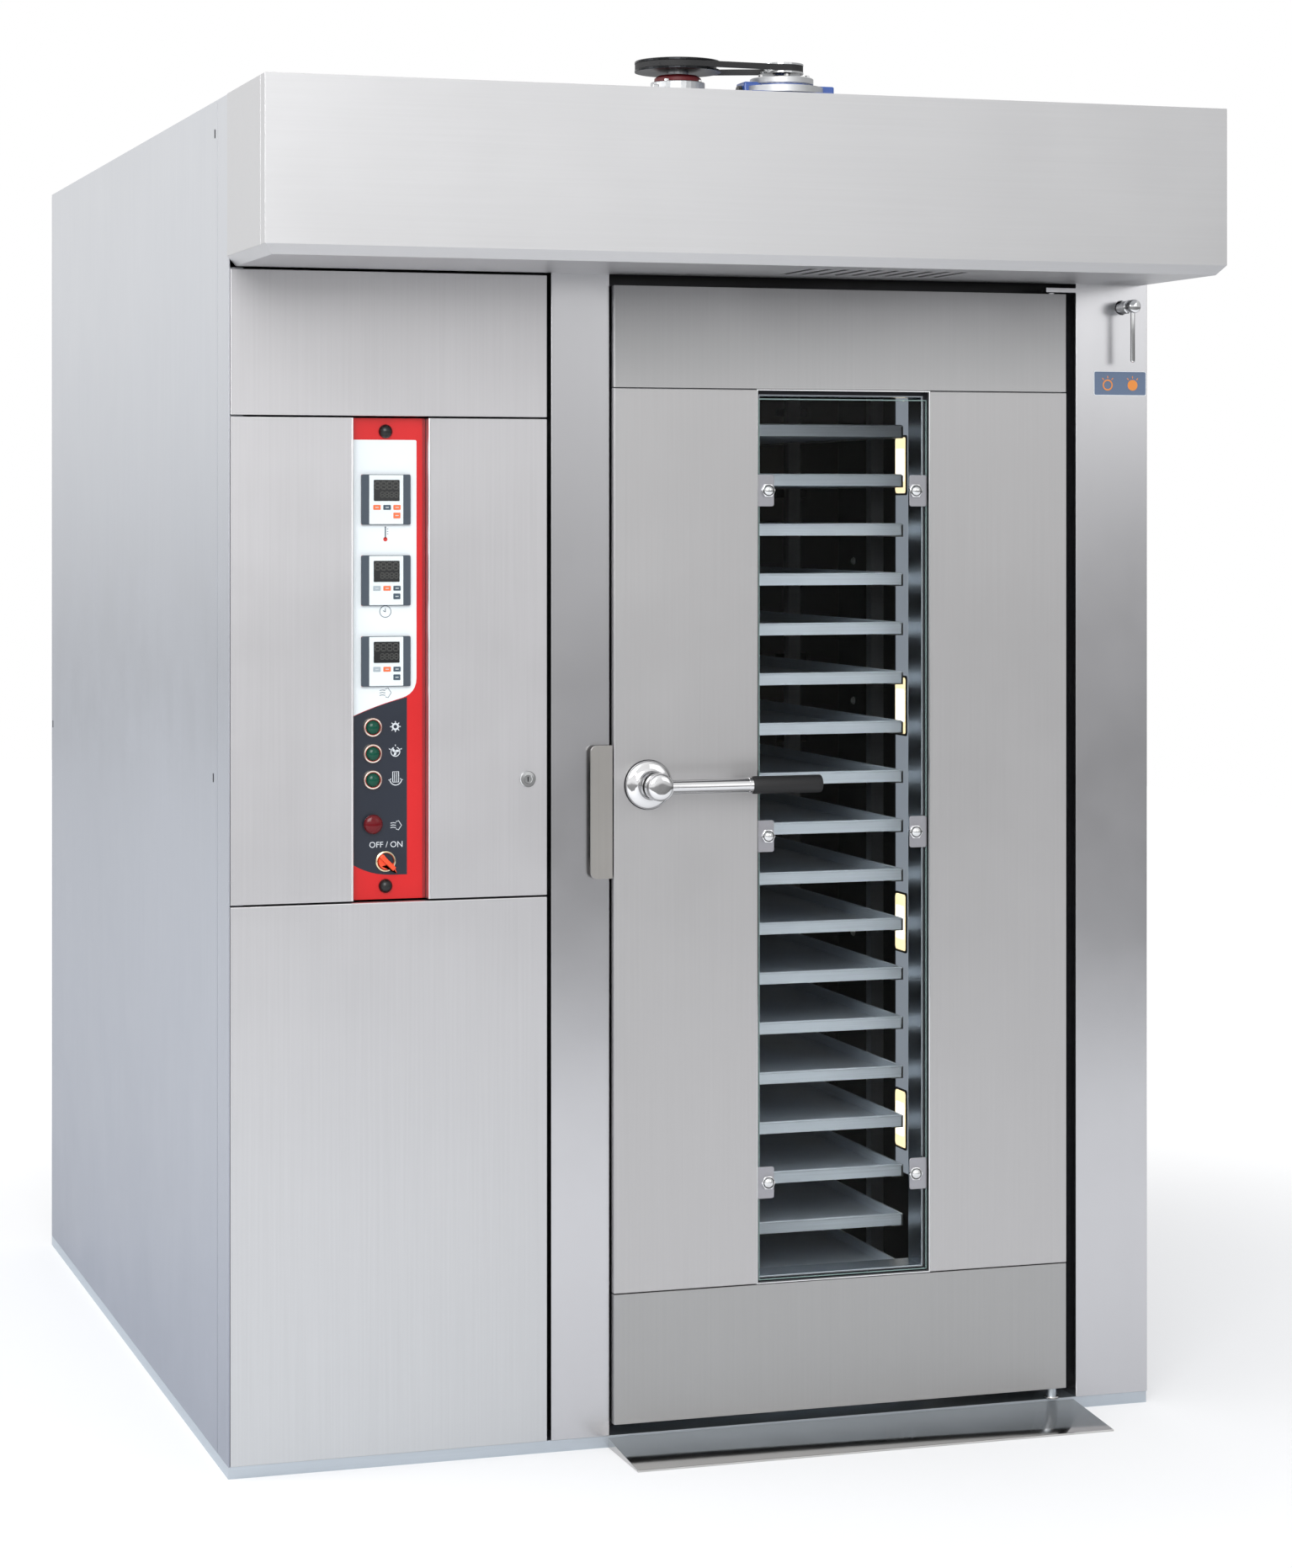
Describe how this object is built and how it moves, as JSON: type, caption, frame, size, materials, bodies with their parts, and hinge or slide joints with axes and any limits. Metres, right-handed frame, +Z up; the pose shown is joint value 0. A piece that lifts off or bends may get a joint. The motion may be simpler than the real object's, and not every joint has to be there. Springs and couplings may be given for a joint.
{
  "type": "rotating rack oven",
  "caption": "Bakery rack oven with a steel casing, extraction hood, hinged control panel, windowed door, and a tray rack that hangs from a belt-driven shaft and turns.",
  "frame": {"origin": "centre of the whole oven's footprint, hood included, at floor level", "axes": "+X right along the front, +Y from the front to the back, +Z up"},
  "size_m": [1.645, 2.245, 2.4326],
  "materials": {
    "front_steel": "brushed",
    "side_steel": "satin",
    "ramp_steel": "polished",
    "chamber_steel": "satin",
    "dark_steel": "satin",
    "chrome": "polished",
    "aluminium": "satin",
    "blue_paint": "gloss",
    "grey_paint": "satin",
    "element_steel": "oxidised",
    "black_plastic": "matt",
    "belt_rubber": "matt",
    "control_plate": "gloss",
    "green_lens": "gloss",
    "red_lens": "gloss",
    "red_plastic": "satin",
    "window": "clear"
  },
  "bodies": {
    "casing": {"base_frame": "dark_steel", "left_side_panel": "side_steel", "right_side_panel": "side_steel", "rear_panel": "side_steel", "roof_panel": "side_steel", "centre_pillar": "front_steel", "right_column": "front_steel", "hood_shell": "front_steel", "service_top_panel": "front_steel", "service_bottom_panel": "front_steel", "chamber_box": "chamber_steel", "air_duct_panel": "chamber_steel", "heating_elements": "element_steel", "fan_motor": "grey_paint", "ramp": "ramp_steel", "keeper_plate": "front_steel", "bearing_housing": "aluminium", "gear_motor": "blue_paint", "drive_belt": "belt_rubber"},
    "service_door": {"service_door": "front_steel", "control_plate": "control_plate"},
    "service_lock": {"service_lock": "chrome"},
    "green_button_1": {"green_button_1": "green_lens"},
    "green_button_2": {"green_button_2": "green_lens"},
    "green_button_3": {"green_button_3": "green_lens"},
    "red_button": {"red_button": "red_lens"},
    "main_switch": {"main_switch": "red_plastic"},
    "oven_door": {"door_core": "dark_steel", "door_skin_top": "front_steel", "door_skin_left": "front_steel", "door_skin_right": "front_steel", "door_skin_bottom": "front_steel", "window_glass": "window"},
    "door_handle": {"handle_lever": "chrome", "handle_grip": "black_plastic", "latch_tongue": "dark_steel"},
    "damper": {"damper_lever": "chrome"},
    "fan": {"fan_impeller": "aluminium"},
    "rack_rotor": {"drive_shaft": "dark_steel", "drive_pulley": "black_plastic", "rack_frame": "chamber_steel", "tray_01": "aluminium", "tray_02": "aluminium", "tray_03": "aluminium", "tray_04": "aluminium", "tray_05": "aluminium", "tray_06": "aluminium", "tray_07": "aluminium", "tray_08": "aluminium", "tray_09": "aluminium", "tray_10": "aluminium", "tray_11": "aluminium", "tray_12": "aluminium", "tray_13": "aluminium", "tray_14": "aluminium", "tray_15": "aluminium", "tray_16": "aluminium", "tray_17": "aluminium", "tray_18": "aluminium"},
    "motor_pulley": {"motor_pulley": "aluminium"}
  },
  "joints": [
    {"name": "door_hinge", "type": "hinge", "parent": "casing", "child": "oven_door", "pos_m": [0.64, -0.8125, 0.042], "axis": [0, 0, 1], "range_deg": [0, 110]},
    {"name": "handle_turn", "type": "hinge", "parent": "oven_door", "child": "door_handle", "pos_m": [-0.11, -0.9005, 1.113], "axis": [0, 1, 0], "range_deg": [0, 90]},
    {"name": "service_door_hinge", "type": "hinge", "parent": "casing", "child": "service_door", "pos_m": [-0.812, -0.8205, 0.932], "axis": [0, 0, 1], "range_deg": [-100, 0]},
    {"name": "service_lock_turn", "type": "hinge", "parent": "service_door", "child": "service_lock", "pos_m": [-0.3156, -0.8225, 1.126], "axis": [0, 1, 0], "range_deg": [0, 90]},
    {"name": "green_button_1_press", "type": "slide", "parent": "service_door", "child": "green_button_1", "axis": [0, 1, 0], "range_m": [0, 0.005], "stiffness_N_per_m": 400},
    {"name": "green_button_2_press", "type": "slide", "parent": "service_door", "child": "green_button_2", "axis": [0, 1, 0], "range_m": [0, 0.005], "stiffness_N_per_m": 400},
    {"name": "green_button_3_press", "type": "slide", "parent": "service_door", "child": "green_button_3", "axis": [0, 1, 0], "range_m": [0, 0.005], "stiffness_N_per_m": 400},
    {"name": "red_button_press", "type": "slide", "parent": "service_door", "child": "red_button", "axis": [0, 1, 0], "range_m": [0, 0.005], "stiffness_N_per_m": 400},
    {"name": "main_switch_turn", "type": "hinge", "parent": "service_door", "child": "main_switch", "pos_m": [-0.5545, -0.8038, 0.9945], "axis": [0, 1, 0], "range_deg": [0, 90]},
    {"name": "damper_turn", "type": "hinge", "parent": "casing", "child": "damper", "pos_m": [0.77, -0.8225, 1.93], "axis": [0, 1, 0], "range_deg": [-90, 0]},
    {"name": "rack_spin", "type": "hinge", "parent": "casing", "child": "rack_rotor", "pos_m": [0.194, -0.0805, 2.4], "axis": [0, 0, 1], "continuous": true},
    {"name": "motor_pulley_spin", "type": "hinge", "parent": "casing", "child": "motor_pulley", "pos_m": [0.394, -0.1105, 2.4], "axis": [0, 0, 1], "continuous": true},
    {"name": "fan_spin", "type": "hinge", "parent": "casing", "child": "fan", "pos_m": [0.194, 0.8175, 1.1], "axis": [0, 1, 0], "continuous": true}
  ],
  "couplings": [
    {"joint": "motor_pulley_spin", "follows": "rack_spin", "ratio": 2.1912}
  ]
}
